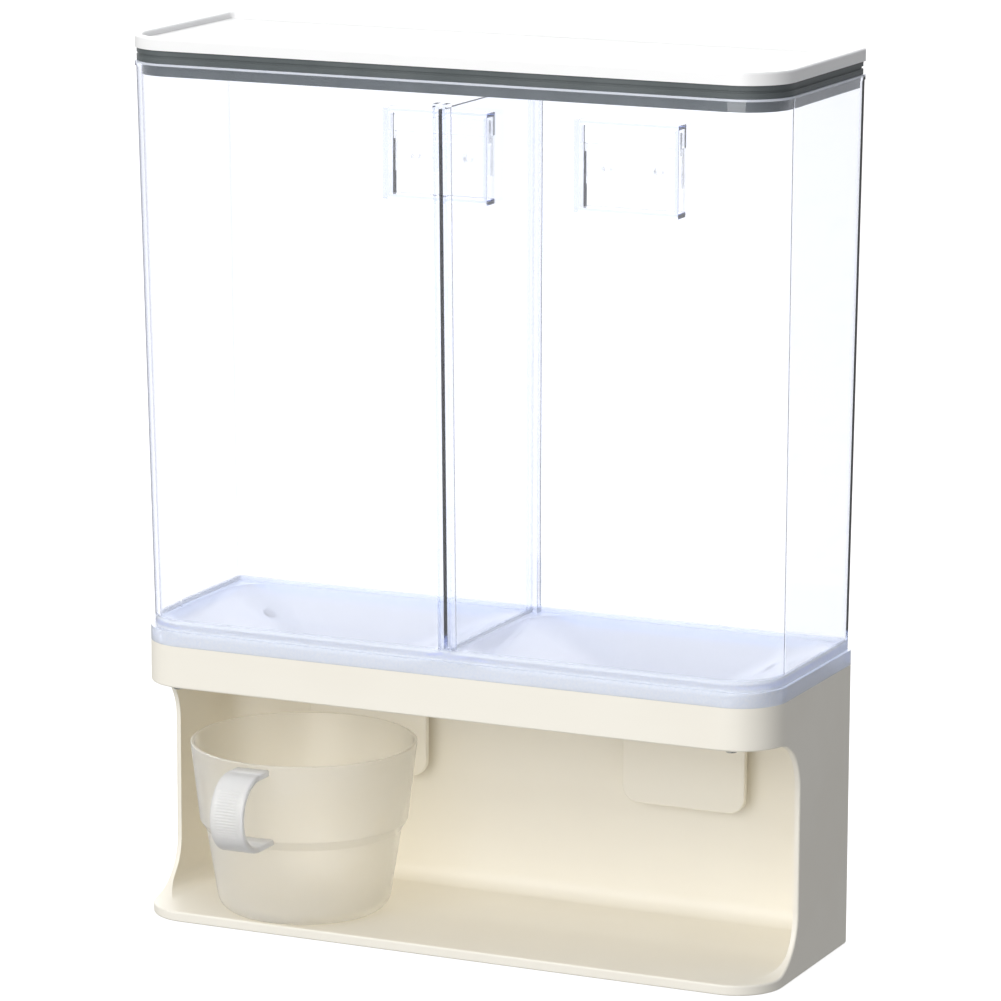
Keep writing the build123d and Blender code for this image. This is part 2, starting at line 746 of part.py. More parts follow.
# Screws that hold the deck to the ledge and the bin to the deck
screw = pan_head_screw(
    screw_diameter,
    screw_length,
    screw_head_diameter,
    screw_head_height,
    screw_drive_width,
    screw_point,
)
with BuildPart() as deck_screws:
    with Locations(*[(x, y, apron_bottom) for x, y in deck_screw_points]):
        add(screw)
save(deck_screws.part, "deck_screws")

with BuildPart() as bin_screws:
    with Locations(*[(x, y, deck_bottom) for x, y in bin_screw_points]):
        add(screw)
save(bin_screws.part, "bin_screws")

# Measuring cup: stepped tumbler on the floor in front of the left paddle
cup_axis = Axis((cup_x, cup_y, 0), (0, 0, 1))
cup_plane = Plane(origin=(cup_x, cup_y, cup_base), x_dir=(1, 0, 0), z_dir=(0, -1, 0))


def cup_section(inset):
    """Half section of the cup's outside, or of its inside with the wall as inset."""
    with BuildSketch(mode=Mode.PRIVATE) as section:
        with BuildLine():
            Polyline(
                (0, inset),
                (cup_bottom_radius - inset, inset),
                (cup_step_lower_radius - inset, cup_step_height),
                (cup_step_upper_radius - inset, cup_step_height + cup_step_rise),
                (cup_rim_radius - inset, cup_height),
                (0, cup_height),
                close=True,
            )
        make_face()
        foot = section.vertices().group_by(Axis.Y)[0].sort_by(Axis.X)[-1]
        fillet(foot, cup_bottom_round - inset)
    return section.sketch


with BuildPart() as cup_form:
    with BuildSketch(cup_plane):
        add(cup_section(0))
    revolve(axis=cup_axis)

with BuildPart() as measuring_cup:
    add(cup_form.part)
    with BuildSketch(cup_plane):
        add(cup_section(cup_wall))
    revolve(axis=cup_axis, mode=Mode.SUBTRACT)
    fillet(measuring_cup.edges().group_by(Axis.Z)[-1], cup_rim_round)
save(measuring_cup.part, "measuring_cup")

# Cup handle: C-shaped strap on the front of the cup
handle_front = cup_y - cup_rim_radius - handle_reach
handle_root = cup_y - cup_step_lower_radius + handle_thickness
with BuildPart() as cup_handle:
    with BuildSketch(Plane.YZ.offset(cup_x - handle_width / 2)) as strap:
        with Locations(((handle_front + handle_root) / 2, handle_top - handle_height / 2)):
            Rectangle(handle_root - handle_front, handle_height)
        fillet(strap.vertices().group_by(Axis.X)[0], handle_height / 2 - fit_gap)
        offset(amount=-handle_thickness, mode=Mode.SUBTRACT)
    extrude(amount=handle_width)
    with BuildSketch(Plane.YZ.offset(cup_x - handle_width / 2)):
        with Locations((handle_root - handle_thickness / 2, handle_top - handle_height / 2)):
            Rectangle(handle_thickness, handle_height - 2 * handle_thickness)
    extrude(amount=handle_width, mode=Mode.SUBTRACT)
    add(cup_form.part, mode=Mode.SUBTRACT)
save(cup_handle.part, "cup_handle")

# Wall hooks in the bin's hang pockets, each with an adhesive pad and two screw holes
plate_back = wall_plane - pad_thickness
plate_front = plate_back - hook_plate_thickness
tongue_back = back_y - hang_lip_thickness - moving_gap
tongue_front = tongue_back - tongue_thickness
tongue_top = hook_seat + tongue_height
wall_hole_z = (hook_bottom + hook_seat - hook_seat_thickness) / 2
for side, sign in sides.items():
    hook_x = sign * hook_pitch / 2
    wall_holes = [(hook_x + x, wall_hole_z) for x in (-wall_hole_pitch / 2, wall_hole_pitch / 2)]

    with BuildPart() as wall_hook:
        with BuildSketch(Plane.YZ.offset(hook_x - hook_width / 2)):
            with BuildLine():
                Polyline(
                    (plate_back, hook_bottom),
                    (plate_back, hook_seat),
                    (tongue_back, hook_seat),
                    (tongue_back, tongue_top),
                    (tongue_front, tongue_top),
                    (tongue_front, hook_seat - hook_seat_thickness),
                    (plate_front, hook_seat - hook_seat_thickness),
                    (plate_front, hook_bottom),
                    close=True,
                )
            make_face()
        extrude(amount=hook_width)
        with BuildSketch(Plane.XZ.offset(-plate_back)):
            with Locations(*wall_holes):
                Circle(wall_hole_diameter / 2)
        extrude(amount=hook_plate_thickness, mode=Mode.SUBTRACT)
    save(wall_hook.part, f"{side}_wall_hook")

    with BuildPart() as adhesive_pad:
        with BuildSketch(Plane.XZ.offset(-wall_plane)):
            with Locations((hook_x, (hook_bottom + hook_seat) / 2)):
                Rectangle(hook_width, hook_plate_height)
            with Locations(*wall_holes):
                Circle(wall_hole_diameter / 2, mode=Mode.SUBTRACT)
        extrude(amount=pad_thickness)
    save(adhesive_pad.part, f"{side}_adhesive_pad")
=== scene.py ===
"""Looks of a wall-mounted rice dispenser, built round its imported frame. Lengths are in metres."""

import logging
import math
from dataclasses import dataclass
from enum import Enum
from typing import Iterable, Mapping, Optional, Sequence, Union

import bmesh
import bpy
from mathutils import Matrix, Vector


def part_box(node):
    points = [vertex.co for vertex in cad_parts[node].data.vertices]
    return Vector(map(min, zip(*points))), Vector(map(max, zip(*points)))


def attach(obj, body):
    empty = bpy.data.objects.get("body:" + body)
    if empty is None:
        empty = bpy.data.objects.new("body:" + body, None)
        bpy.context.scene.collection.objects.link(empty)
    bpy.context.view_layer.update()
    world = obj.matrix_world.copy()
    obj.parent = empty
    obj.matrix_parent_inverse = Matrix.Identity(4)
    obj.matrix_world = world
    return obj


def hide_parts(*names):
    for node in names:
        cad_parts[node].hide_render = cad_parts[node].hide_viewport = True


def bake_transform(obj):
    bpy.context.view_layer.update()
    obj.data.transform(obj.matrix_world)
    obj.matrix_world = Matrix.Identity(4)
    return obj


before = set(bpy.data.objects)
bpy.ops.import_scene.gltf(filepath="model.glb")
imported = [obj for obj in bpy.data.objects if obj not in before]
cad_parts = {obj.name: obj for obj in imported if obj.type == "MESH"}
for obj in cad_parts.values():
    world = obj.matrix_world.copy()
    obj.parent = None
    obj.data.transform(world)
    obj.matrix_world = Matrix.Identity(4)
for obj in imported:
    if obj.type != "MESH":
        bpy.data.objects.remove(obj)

LOG = logging.getLogger("rice_dispenser")

Colour = tuple[float, float, float, float]
Triple = tuple[float, float, float]
Span = tuple[float, float]
Inputs = Mapping[Union[str, int], object]

WHITE: Colour = (1.0, 1.0, 1.0, 1.0)
NOISE_MEAN = 0.5


class Body(Enum):
    """Moving bodies of the frame that take new pieces."""

    DISPENSER = "dispenser"
    CUP = "measuring_cup"


class Side(Enum):
    """The two halves of the dispenser, seen from the front."""

    LEFT = "left"
    RIGHT = "right"

    def node(self, name: str) -> str:
        """Name of this side's copy of a node or a body."""
        return f"{self.value}_{name}"


class Slot(Enum):
    """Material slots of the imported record."""

    CLEAR = "clear_plastic"
    IVORY = "ivory_plastic"
    WHITE = "white_plastic"
    GREY_SILICONE = "grey_silicone"
    PALE_SILICONE = "pale_silicone"
    FROSTED = "frosted_plastic"
    STEEL = "steel"
    SPRING = "spring_steel"
    TAPE = "clear_tape"


class Signal:
    """One shader socket that takes part in Python arithmetic."""

    def __init__(self, sheet: "ShaderSheet", socket: bpy.types.NodeSocket) -> None:
        """Keep the sheet that holds the socket and the socket itself."""
        self.sheet = sheet
        self.socket = socket

    def _math(self, operation: str, first: "Value", second: "Value") -> "Signal":
        """Join two values with one Math node.

        Args:
            operation: The Math node's operation.
            first: The upper input.
            second: The lower input.

        Returns:
            The node's result.
        """
        made = self.sheet.node("ShaderNodeMath", {"operation": operation}, {0: first, 1: second})
        return Signal(self.sheet, made.outputs[0])

    def __add__(self, other: "Value") -> "Signal":
        """Sum."""
        return self._math("ADD", self, other)

    def __radd__(self, other: "Value") -> "Signal":
        """Sum with a number on the left."""
        return self._math("ADD", other, self)

    def __sub__(self, other: "Value") -> "Signal":
        """Difference."""
        return self._math("SUBTRACT", self, other)

    def __rsub__(self, other: "Value") -> "Signal":
        """Difference from a number on the left."""
        return self._math("SUBTRACT", other, self)

    def __mul__(self, other: "Value") -> "Signal":
        """Product."""
        return self._math("MULTIPLY", self, other)

    def __rmul__(self, other: "Value") -> "Signal":
        """Product with a number on the left."""
        return self._math("MULTIPLY", other, self)

    def ramp(self, low: float, high: float) -> "Signal":
        """Smooth step from nought at one value to one at another.

        Args:
            low: The value that gives nought.
            high: The value that gives one.

        Returns:
            The step.
        """
        made = self.sheet.node(
            "ShaderNodeMapRange",
            {"interpolation_type": "SMOOTHSTEP"},
            {"Value": self, "From Min": low, "From Max": high},
        )
        return Signal(self.sheet, made.outputs[0])


Value = Union[int, float, Signal]
Setting = Union[int, float, str, bool, Sequence]


@dataclass(frozen=True)
class Pattern:
    """A soft noise: features per metre, octaves of finer noise, and scale along each axis."""

    scale: float
    detail: float = 2.0
    stretch: Triple = (1.0, 1.0, 1.0)


class ShaderSheet:
    """One node tree, filled through a single node-making method."""

    def __init__(self, tree: bpy.types.NodeTree) -> None:
        """Start from an empty tree."""
        self.tree = tree
        self.tree.nodes.clear()
        self._place: Optional[Signal] = None

    def node(
        self, kind: str, settings: Optional[Mapping[str, Setting]] = None, inputs: Optional[Inputs] = None
    ) -> bpy.types.Node:
        """Add one node.

        Args:
            kind: Blender's name of the node type.
            settings: The node's own properties, set first.
            inputs: Values or signals for its sockets.

        Returns:
            The new node.
        """
        made = self.tree.nodes.new(kind)
        for name, value in (settings or {}).items():
            setattr(made, name, value)
        for name, value in (inputs or {}).items():
            if isinstance(value, Signal):
                self.tree.links.new(value.socket, made.inputs[name])
            else:
                made.inputs[name].default_value = value
        return made

    def first(self, kind: str, inputs: Optional[Inputs] = None) -> Signal:
        """First output of a new node."""
        return Signal(self, self.node(kind, None, inputs).outputs[0])

    def place(self) -> Signal:
        """The piece's own coordinates."""
        if self._place is None:
            self._place = Signal(self, self.node("ShaderNodeTexCoord").outputs["Object"])
        return self._place

    def axes(self) -> tuple[Signal, Signal, Signal]:
        """The piece's own coordinates, one by one."""
        outputs = self.node("ShaderNodeSeparateXYZ", None, {0: self.place()}).outputs
        return Signal(self, outputs["X"]), Signal(self, outputs["Y"]), Signal(self, outputs["Z"])

    def noise(self, pattern: Pattern) -> Signal:
        """Soft noise over the piece.

        Args:
            pattern: The noise's size and stretch.

        Returns:
            Noise about one half.
        """
        mapped = self.first("ShaderNodeMapping", {"Vector": self.place(), "Scale": pattern.stretch})
        made = self.node(
            "ShaderNodeTexNoise",
            {"noise_dimensions": "3D"},
            {"Vector": mapped, "Scale": pattern.scale, "Detail": pattern.detail},
        )
        return Signal(self, made.outputs[0])

    def cells(self, scale: float) -> Signal:
        """Distance from the middle of scattered cells, by cells per metre."""
        made = self.node("ShaderNodeTexVoronoi", {"feature": "F1"}, {"Vector": self.place(), "Scale": scale})
        return Signal(self, made.outputs[0])

    def mix(self, share: Value, first: Union[Colour, Signal], second: Union[Colour, Signal]) -> Signal:
        """Blend of two colours by a share of the second."""
        made = self.node("ShaderNodeMix", {"data_type": "RGBA"}, {0: share, 6: first, 7: second})
        return Signal(self, made.outputs[2])

    def bump(self, height: Signal, distance: float) -> Signal:
        """Normal of a surface raised by a height, in metres at height one."""
        return self.first("ShaderNodeBump", {"Distance": distance, "Height": height})

    def facing(self) -> Signal:
        """Nought where the surface is seen square on, and one where it is seen edge on."""
        return Signal(self, self.node("ShaderNodeLayerWeight").outputs["Facing"])

    def level(self, span: Span) -> Signal:
        """Share of a surface that lies level.

        Args:
            span: Squared upright parts of the normal that give nought and one.

        Returns:
            One on level surfaces, and nought on upright ones.
        """
        normal = Signal(self, self.node("ShaderNodeNewGeometry").outputs["Normal"])
        upward = Signal(self, self.node("ShaderNodeSeparateXYZ", None, {0: normal}).outputs["Z"])
        return (upward * upward).ramp(*span)

    def surface(
        self,
        inputs: Inputs,
        passing: Optional[Colour] = None,
        body: Optional[Signal] = None,
        over: Optional[tuple[Signal, Signal]] = None,
    ) -> None:
        """Principled shader on the material's output.

        Args:
            inputs: Values or signals for its sockets.
            passing: The share of the light on other pieces that a see-through skin lets pass.
            body: Volume shader of what lies under the skin.
            over: Share and shader of a second finish on the same skin.
        """
        shown = self.first("ShaderNodeBsdfPrincipled", inputs)
        if over is not None:
            shown = self.first("ShaderNodeMixShader", {0: over[0], 1: shown, 2: over[1]})
        if passing is not None:
            opened = self.first("ShaderNodeBsdfTransparent", {"Color": passing})
            rays = self.node("ShaderNodeLightPath").outputs
            for kind in ("Is Diffuse Ray", "Is Shadow Ray"):
                shown = self.first("ShaderNodeMixShader", {0: Signal(self, rays[kind]), 1: shown, 2: opened})
        ends = {"Surface": shown}
        if body is not None:
            ends["Volume"] = body
        self.node("ShaderNodeOutputMaterial", None, ends)


@dataclass(frozen=True)
class Finish:
    """A named finish that makes one material."""

    name: str

    def make(self) -> bpy.types.Material:
        """Make the finish's material.

        Returns:
            The finished material.
        """
        material = bpy.data.materials.new(self.name)
        material.use_nodes = True
        self.draw(ShaderSheet(material.node_tree))
        return material

    def draw(self, sheet: ShaderSheet) -> None:
        """Fill the material's sheet."""
        raise NotImplementedError


@dataclass(frozen=True)
class MouldedPlastic(Finish):
    """Opaque moulded plastic: satin grain, slow colour drift and faint flow marks."""

    colour: Colour
    drift_colour: Colour
    roughness: float
    grain_height: float
    drift: Pattern = Pattern(14.0)
    flow: Pattern = Pattern(5.0, 3.0, (1.0, 9.0, 9.0))
    grain: Pattern = Pattern(2600.0, 1.0)
    drift_share: float = 0.6
    flow_share: float = 0.4
    share_span: Span = (0.35, 0.65)
    flow_gloss: float = 0.10
    grain_gloss: float = 0.08
    ior: float = 1.5

    def draw(self, sheet: ShaderSheet) -> None:
        """Fill the sheet with grain, drift and flow marks.

        Args:
            sheet: The material's sheet.
        """
        drift = sheet.noise(self.drift)
        flow = sheet.noise(self.flow)
        grain = sheet.noise(self.grain)
        share = (self.drift_share * drift + self.flow_share * flow).ramp(*self.share_span)
        gloss = self.flow_gloss * (flow - NOISE_MEAN)
        sheet.surface(
            {
                "Base Color": sheet.mix(share, self.colour, self.drift_colour),
                "Roughness": self.roughness + gloss + self.grain_gloss * (grain - NOISE_MEAN),
                "Normal": sheet.bump(grain, self.grain_height),
                "IOR": self.ior,
            }
        )


@dataclass(frozen=True)
class ClearPlastic(Finish):
    """Glass-clear moulded plastic that turns blue where the light runs far inside it, with a painted dark
    shade on walls seen edge on.
    """

    tint: Colour = (0.55, 0.66, 0.98, 1.0)
    density: float = 40.0
    roughness: float = 0.015
    ior: float = 1.49
    wipe: Pattern = Pattern(26.0, 4.0, (1.0, 1.0, 5.0))
    wipe_span: Span = (0.52, 0.74)
    wipe_gloss: float = 0.03
    haze_colour: Colour = (0.985, 0.99, 1.0, 1.0)
    # Dark blue painted into walls seen edge on, as the shade of their edges.
    painted_edge_shade_colour: Colour = (0.02, 0.03, 0.12, 1.0)
    painted_edge_shade_span: Span = (0.62, 0.93)
    level_span: Span = (0.05, 0.3)
    satin_colour: Colour = (0.86, 0.855, 0.84, 1.0)
    satin_share: float = 0.55
    satin_roughness: float = 0.3
    spark: Pattern = Pattern(900.0)
    spark_gloss: float = 0.1
    foot_span: Span = (0.1445, 0.1465)
    # Thin satin band on the lip of the mouth, painted pale as a highlight of the rim seen edge on.
    lip_painted_highlight_span: Span = (0.4062, 0.4066)
    # Pale blue of the flange's outer band: painted light, for the light that the clear plastic carries to
    # its edge.
    flange_painted_light_colour: Colour = (0.78, 0.86, 1.0, 1.0)
    flange_across: Span = (0.0216, 0.0231)
    flange_deep: Span = (0.00176, 0.00212)
    solid: bool = True

    def satin(self, sheet: ShaderSheet) -> tuple[Signal, Signal]:
        """Satin skin at the bin's foot and on the lip of its mouth. On its flange the skin is painted pale
        blue, for the light that the clear plastic carries along it, and the thin band on the lip is a
        painted highlight of the rim seen edge on.

        Args:
            sheet: The material's sheet.

        Returns:
            The skin's share and its shader.
        """
        across, deep, height = sheet.axes()
        # outer picks the flange's outer band, which takes the painted pale blue light.
        outer = (across * across).ramp(*self.flange_across) + (deep * deep).ramp(*self.flange_deep)
        foot = 1.0 - height.ramp(*self.foot_span)
        # The lip's thin band is a painted highlight line.
        share = self.satin_share * (foot + height.ramp(*self.lip_painted_highlight_span))
        spark = sheet.noise(self.spark)
        inner_colour = sheet.mix(spark, self.satin_colour, self.haze_colour)
        painted_flange_light = sheet.mix(spark, self.flange_painted_light_colour, self.haze_colour)
        shader = sheet.first(
            "ShaderNodeBsdfPrincipled",
            {
                "Base Color": sheet.mix(outer, inner_colour, painted_flange_light),
                "Roughness": self.satin_roughness + self.spark_gloss * (spark - NOISE_MEAN),
                "IOR": self.ior,
            },
        )
        return share, shader

    def draw(self, sheet: ShaderSheet) -> None:
        """Fill the sheet with a clear surface, wiping marks and a painted dark blue shade on walls seen edge
        on, and with a body if it is solid.

        Args:
            sheet: The material's sheet.
        """
        haze = sheet.noise(self.wipe).ramp(*self.wipe_span)
        # Painted shade: walls seen edge on are tinted dark blue, except on level faces.
        edge = sheet.facing().ramp(*self.painted_edge_shade_span) * (1.0 - sheet.level(self.level_span))
        pale = sheet.mix(haze, WHITE, self.haze_colour)
        inside = {"Color": self.tint, "Density": self.density}
        sheet.surface(
            {
                "Base Color": sheet.mix(edge, pale, self.painted_edge_shade_colour),
                "Roughness": self.roughness + self.wipe_gloss * haze,
                "Transmission Weight": 1.0,
                "IOR": self.ior,
            },
            passing=self.haze_colour,
            body=sheet.first("ShaderNodeVolumeAbsorption", inside) if self.solid else None,
            over=self.satin(sheet) if self.solid else None,
        )


@dataclass(frozen=True)
class FrostedPlastic(Finish):
    """Milky translucent plastic with a matt moulded skin."""

    colour: Colour = (0.972, 0.954, 0.905, 1.0)
    cloud_colour: Colour = (0.985, 0.972, 0.932, 1.0)
    roughness: float = 0.36
    clearness: float = 0.8
    passing: Colour = (0.97, 0.96, 0.935, 1.0)
    cloud: Pattern = Pattern(38.0, 3.0)
    rings: Pattern = Pattern(11.0, 2.0, (0.4, 0.4, 22.0))
    skin: Pattern = Pattern(1900.0, 1.0)
    cloud_span: Span = (0.35, 0.65)
    cloud_gloss: float = 0.12
    skin_gloss: float = 0.06
    ring_relief: float = 0.7
    skin_relief: float = 0.3
    relief: float = 0.00004
    ior: float = 1.42

    def draw(self, sheet: ShaderSheet) -> None:
        """Fill the sheet with clouding, a matt skin and faint rings of moulding.

        Args:
            sheet: The material's sheet.
        """
        cloud = sheet.noise(self.cloud)
        rings = sheet.noise(self.rings)
        skin = sheet.noise(self.skin)
        gloss = self.cloud_gloss * (cloud - NOISE_MEAN)
        sheet.surface(
            {
                "Base Color": sheet.mix(cloud.ramp(*self.cloud_span), self.colour, self.cloud_colour),
                "Roughness": self.roughness + gloss + self.skin_gloss * (skin - NOISE_MEAN),
                "Transmission Weight": self.clearness,
                "IOR": self.ior,
                "Normal": sheet.bump(self.ring_relief * rings + self.skin_relief * skin, self.relief),
            },
            passing=self.passing,
        )


@dataclass(frozen=True)
class Silicone(Finish):
    """Soft matt rubber with a dusty bloom."""

    colour: Colour
    bloom_colour: Colour
    roughness: float = 0.55
    bloom: Pattern = Pattern(45.0, 4.0)
    dust: Pattern = Pattern(900.0)
    skin: Pattern = Pattern(1500.0)
    bloom_span: Span = (0.3, 0.75)
    dust_span: Span = (0.62, 0.78)
    bloom_share: float = 0.55
    dust_share: float = 0.35
    bloom_gloss: float = 0.16
    relief: float = 0.00003
    sheen: float = 0.12
    sheen_roughness: float = 0.4
    ior: float = 1.41

    def draw(self, sheet: ShaderSheet) -> None:
        """Fill the sheet with bloom, dust and a fine skin.

        Args:
            sheet: The material's sheet.
        """
        bloom = sheet.noise(self.bloom)
        dust = sheet.noise(self.dust).ramp(*self.dust_span)
        share = self.bloom_share * bloom.ramp(*self.bloom_span) + self.dust_share * dust
        sheet.surface(
            {
                "Base Color": sheet.mix(share, self.colour, self.bloom_colour),
                "Roughness": self.roughness + self.bloom_gloss * (bloom - NOISE_MEAN),
                "Normal": sheet.bump(sheet.noise(self.skin), self.relief),
                "Sheen Weight": self.sheen,
                "Sheen Roughness": self.sheen_roughness,
                "IOR": self.ior,
            }
        )


@dataclass(frozen=True)
class DrawnSteel(Finish):
    """Drawn or rolled steel with fine streaks along the piece."""

    colour: Colour = (0.6, 0.6, 0.58, 1.0)
    streak_colour: Colour = (0.5, 0.5, 0.49, 1.0)
    roughness: float = 0.26
    streaks: Pattern = Pattern(2400.0, 2.0, (0.15, 1.0, 1.0))
    dull: Pattern = Pattern(210.0, 3.0)
    streak_span: Span = (0.3, 0.7)
    dull_gloss: float = 0.14
    streak_gloss: float = 0.08
    relief: float = 0.000012

    def draw(self, sheet: ShaderSheet) -> None:
        """Fill the sheet with streaks and dull spots.

        Args:
            sheet: The material's sheet.
        """
        streak = sheet.noise(self.streaks)
        gloss = self.dull_gloss * (sheet.noise(self.dull) - NOISE_MEAN)
        sheet.surface(
            {
                "Base Color": sheet.mix(streak.ramp(*self.streak_span), self.colour, self.streak_colour),
                "Metallic": 1.0,
                "Roughness": self.roughness + gloss + self.streak_gloss * (streak - NOISE_MEAN),
                "Normal": sheet.bump(streak, self.relief),
            }
        )


@dataclass(frozen=True)
class GelTape(Finish):
    """Clear gel of a self-adhesive pad, with trapped bubbles."""

    colour: Colour = (0.97, 0.98, 0.99, 1.0)
    bubble_colour: Colour = (0.90, 0.92, 0.94, 1.0)
    bubble_scale: float = 700.0
    bubble_span: Span = (0.2, 0.45)
    drift: Pattern = Pattern(80.0)
    roughness: float = 0.12
    drift_gloss: float = 0.1
    relief: float = 0.00004
    clearness: float = 0.95
    cover: float = 0.3
    ior: float = 1.46

    def draw(self, sheet: ShaderSheet) -> None:
        """Fill the sheet with bubbles and a tacky skin.

        Args:
            sheet: The material's sheet.
        """
        bubbles = sheet.cells(self.bubble_scale).ramp(*self.bubble_span)
        drift = sheet.noise(self.drift)
        sheet.surface(
            {
                "Base Color": sheet.mix(bubbles, self.bubble_colour, self.colour),
                "Roughness": self.roughness + self.drift_gloss * (drift - NOISE_MEAN),
                "Normal": sheet.bump(bubbles, self.relief),
                "Transmission Weight": self.clearness,
                "Alpha": self.cover,
                "IOR": self.ior,
            },
            passing=self.colour,
        )


def finishes() -> dict[Slot, bpy.types.Material]:
    """Make every finish once.

    Returns:
        The material of each record slot.
    """
    recipes: dict[Slot, Finish] = {
        Slot.CLEAR: ClearPlastic("clear_plastic"),
        Slot.IVORY: MouldedPlastic(
            "ivory_plastic",
            colour=(0.895, 0.86, 0.768, 1.0),
            drift_colour=(0.875, 0.836, 0.742, 1.0),
            roughness=0.42,
            grain_height=0.000012,
        ),
        Slot.WHITE: MouldedPlastic(
            "white_plastic",
            colour=(0.9, 0.9, 0.895, 1.0),
            drift_colour=(0.88, 0.88, 0.875, 1.0),
            roughness=0.34,
            grain_height=0.000008,
        ),
        Slot.GREY_SILICONE: Silicone(
            "grey_silicone", colour=(0.088, 0.103, 0.106, 1.0), bloom_colour=(0.13, 0.146, 0.15, 1.0)
        ),
        Slot.PALE_SILICONE: Silicone(
            "pale_silicone", colour=(0.72, 0.72, 0.7, 1.0), bloom_colour=(0.8, 0.8, 0.78, 1.0), roughness=0.5
        ),
        Slot.FROSTED: FrostedPlastic("frosted_plastic"),
        Slot.STEEL: DrawnSteel("steel"),
        Slot.SPRING: DrawnSteel(
            "spring_steel",
            colour=(0.42, 0.42, 0.41, 1.0),
            streak_colour=(0.33, 0.33, 0.32, 1.0),
            roughness=0.32,
            streaks=Pattern(2400.0, 2.0, (1.0, 0.3, 0.3)),
        ),
        Slot.TAPE: GelTape("clear_tape"),
    }
    return {slot: recipe.make() for slot, recipe in recipes.items()}


@dataclass
class SubAssembly:
    """A group of pieces with the finishes that they take."""

    materials: Mapping[Slot, bpy.types.Material]

    def dress(self, slot: Slot, names: Iterable[str], finish: Optional[Finish] = None) -> None:
        """Give CAD nodes the finish of one slot.

        Args:
            slot: The record's slot they belong to.
            names: The nodes that take it.
            finish: A finish of their own, in place of the slot's.
        """
        material = finish.make() if finish else self.materials[slot]
        for name in names:
            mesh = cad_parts[name].data
            mesh.materials.clear()
            mesh.materials.append(material)
            LOG.info("%s takes %s", name, material.name)

    def piece(
        self, name: str, shape: bmesh.types.BMesh, slot: Slot, finish: Optional[Finish] = None
    ) -> bpy.types.Object:
        """Turn a finished shape into a piece, which has yet to be joined to a body.

        Args:
            name: The piece's name.
            shape: The mesh, in place; it is freed here.
            slot: The record's slot it belongs to.
            finish: A finish of its own, in place of the slot's.

        Returns:
            The new object.
        """
        mesh = bpy.data.meshes.new(name)
        shape.to_mesh(mesh)
        shape.free()
        mesh.materials.append(finish.make() if finish else self.materials[slot])
        made = bpy.data.objects.new(name, mesh)
        bpy.context.scene.collection.objects.link(made)
        return made

    def build(self) -> None:
        """Make and dress the group's pieces."""
        raise NotImplementedError


@dataclass
class StorageBin(SubAssembly):
    """Clear bin with its divider, screwed to the deck."""

    def build(self) -> None:
        """Dress the clear pieces and the screws that hold them."""
        self.dress(Slot.CLEAR, ("storage_bin", "divider"))
        self.dress(Slot.STEEL, ("bin_screws",))


@dataclass
class Lid(SubAssembly):
    """Tray lid and its silicone ring."""

    def build(self) -> None:
        """Dress the lid and its ring."""
        self.dress(Slot.WHITE, ("lid",))
        self.dress(Slot.GREY_SILICONE, ("lid_seal",))


@dataclass
class Base(SubAssembly):
    """Ivory housing and the chute deck inside it."""

    def build(self) -> None:
        """Dress the housing, the deck and its fixings."""
        self.dress(Slot.IVORY, ("base_housing", "chute_deck"))
        self.dress(Slot.STEEL, ("deck_screws",))
        self.dress(Slot.PALE_SILICONE, (side.node("outlet_seal") for side in Side))


@dataclass
class Lever(SubAssembly):
    """Push paddle, drop gate and return spring under one outlet."""

    side: Side
    outlet_x: float = 0.0820
    coil_half: float = 0.0045
    merge_gap: float = 1e-6
    sharp_angle: float = 40.0

    def spring(self) -> bpy.types.Object:
        """Return spring that winds up between the deck and the lever.

        Returns:
            The spring, which stands for its CAD node.
        """
        node = self.side.node("return_spring")
        lever = self.side.node("lever")
        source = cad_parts[node]
        shape = bmesh.new()
        shape.from_mesh(source.data)
        shape.transform(source.matrix_world)
        bmesh.ops.remove_doubles(shape, verts=shape.verts, dist=self.merge_gap)
        made = self.piece(self.side.node("wound_spring"), shape, Slot.SPRING)
        self.smooth(made.data)
        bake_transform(made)
        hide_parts(node)
        LOG.info("%s winds up between %s and %s", made.name, Body.DISPENSER.value, lever)
        return made

    def smooth(self, mesh: bpy.types.Mesh) -> None:
        """Shade a merged wire smooth, with its ends sharp.

        Args:
            mesh: The wire's mesh.
        """
        stored = mesh.attributes.get("custom_normal")
        if stored is not None:
            mesh.attributes.remove(stored)
        mesh.shade_smooth()
        mesh.set_sharp_from_angle(angle=math.radians(self.sharp_angle))

    def build(self) -> None:
        """Dress one lever and what it turns on, and make its spring."""
        self.dress(Slot.IVORY, (self.side.node("paddle"), self.side.node("gate")))
        self.dress(Slot.STEEL, map(self.side.node, ("gate_screws", "pivot_pin", "pin_clip")))
        self.spring()


